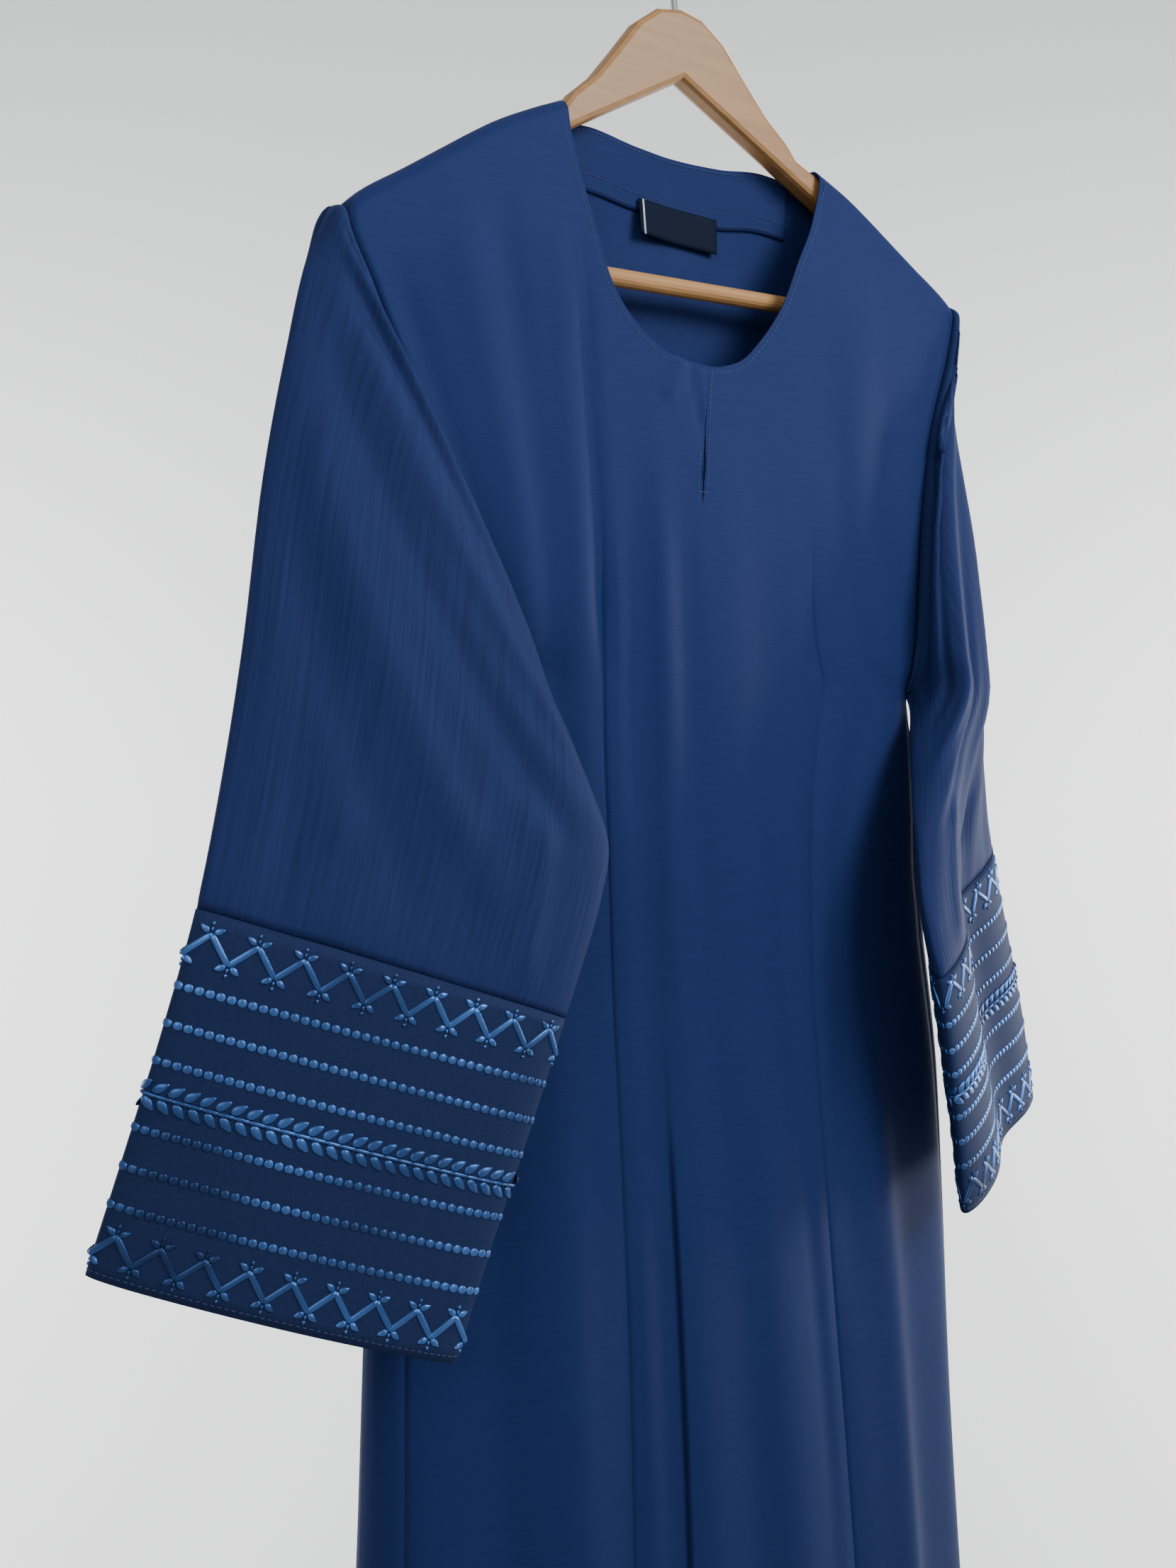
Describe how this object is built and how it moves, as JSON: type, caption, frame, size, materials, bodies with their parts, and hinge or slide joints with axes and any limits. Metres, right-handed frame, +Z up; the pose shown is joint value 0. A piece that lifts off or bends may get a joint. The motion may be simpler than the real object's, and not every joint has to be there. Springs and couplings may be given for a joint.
{
  "type": "abaya on a hanger",
  "caption": "Long navy crepe abaya with wide embroidered cuffs, round neck and short front slit, hanging on a wooden hanger.",
  "frame": {"origin": "the point inside the top of the hanger's hook where it rests on a rail", "axes": "+Z up, the front of the garment faces -Y, +X to the viewer's right seen from the front"},
  "size_m": [0.62, 0.208, 1.5337],
  "materials": {
    "crepe": "matt",
    "sleeve_crepe": "matt",
    "cuff_cloth": "satin",
    "facing_cloth": "matt",
    "label_cloth": "satin",
    "hanger_wood": "satin",
    "hook_wire": "polished"
  },
  "bodies": {
    "root": {"front": "crepe", "back": "crepe", "sleeve_left": "sleeve_crepe", "sleeve_right": "sleeve_crepe", "cuff_left": "cuff_cloth", "cuff_right": "cuff_cloth", "back_neck_facing": "facing_cloth", "neck_label": "label_cloth", "placket_underlap": "facing_cloth", "hanger_wood": "hanger_wood", "hanger_bar": "hanger_wood", "hanger_hook": "hook_wire"}
  },
  "joints": []
}
